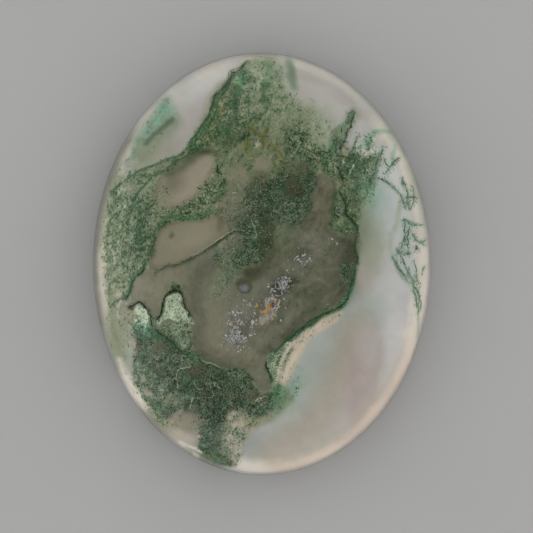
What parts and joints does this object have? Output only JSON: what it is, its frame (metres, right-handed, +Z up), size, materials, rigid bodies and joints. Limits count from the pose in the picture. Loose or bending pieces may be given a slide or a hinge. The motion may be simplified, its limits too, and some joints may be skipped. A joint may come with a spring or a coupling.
{
  "type": "moss agate cabochon",
  "caption": "Oval polished stone with a domed top, a narrow girdle and a flat base, see-through grey with green moss-like growths inside; a loose gem to set or display.",
  "frame": {"origin": "middle of the flat base, which lies on the plane Z = 0", "axes": "+Z up, out of the top of the dome; +Y along the oval's long axis; +X along its short axis"},
  "size_m": [0.032, 0.04, 0.008],
  "materials": {
    "moss_agate": "polished"
  },
  "bodies": {
    "root": {"cabochon": "moss_agate"}
  },
  "joints": []
}
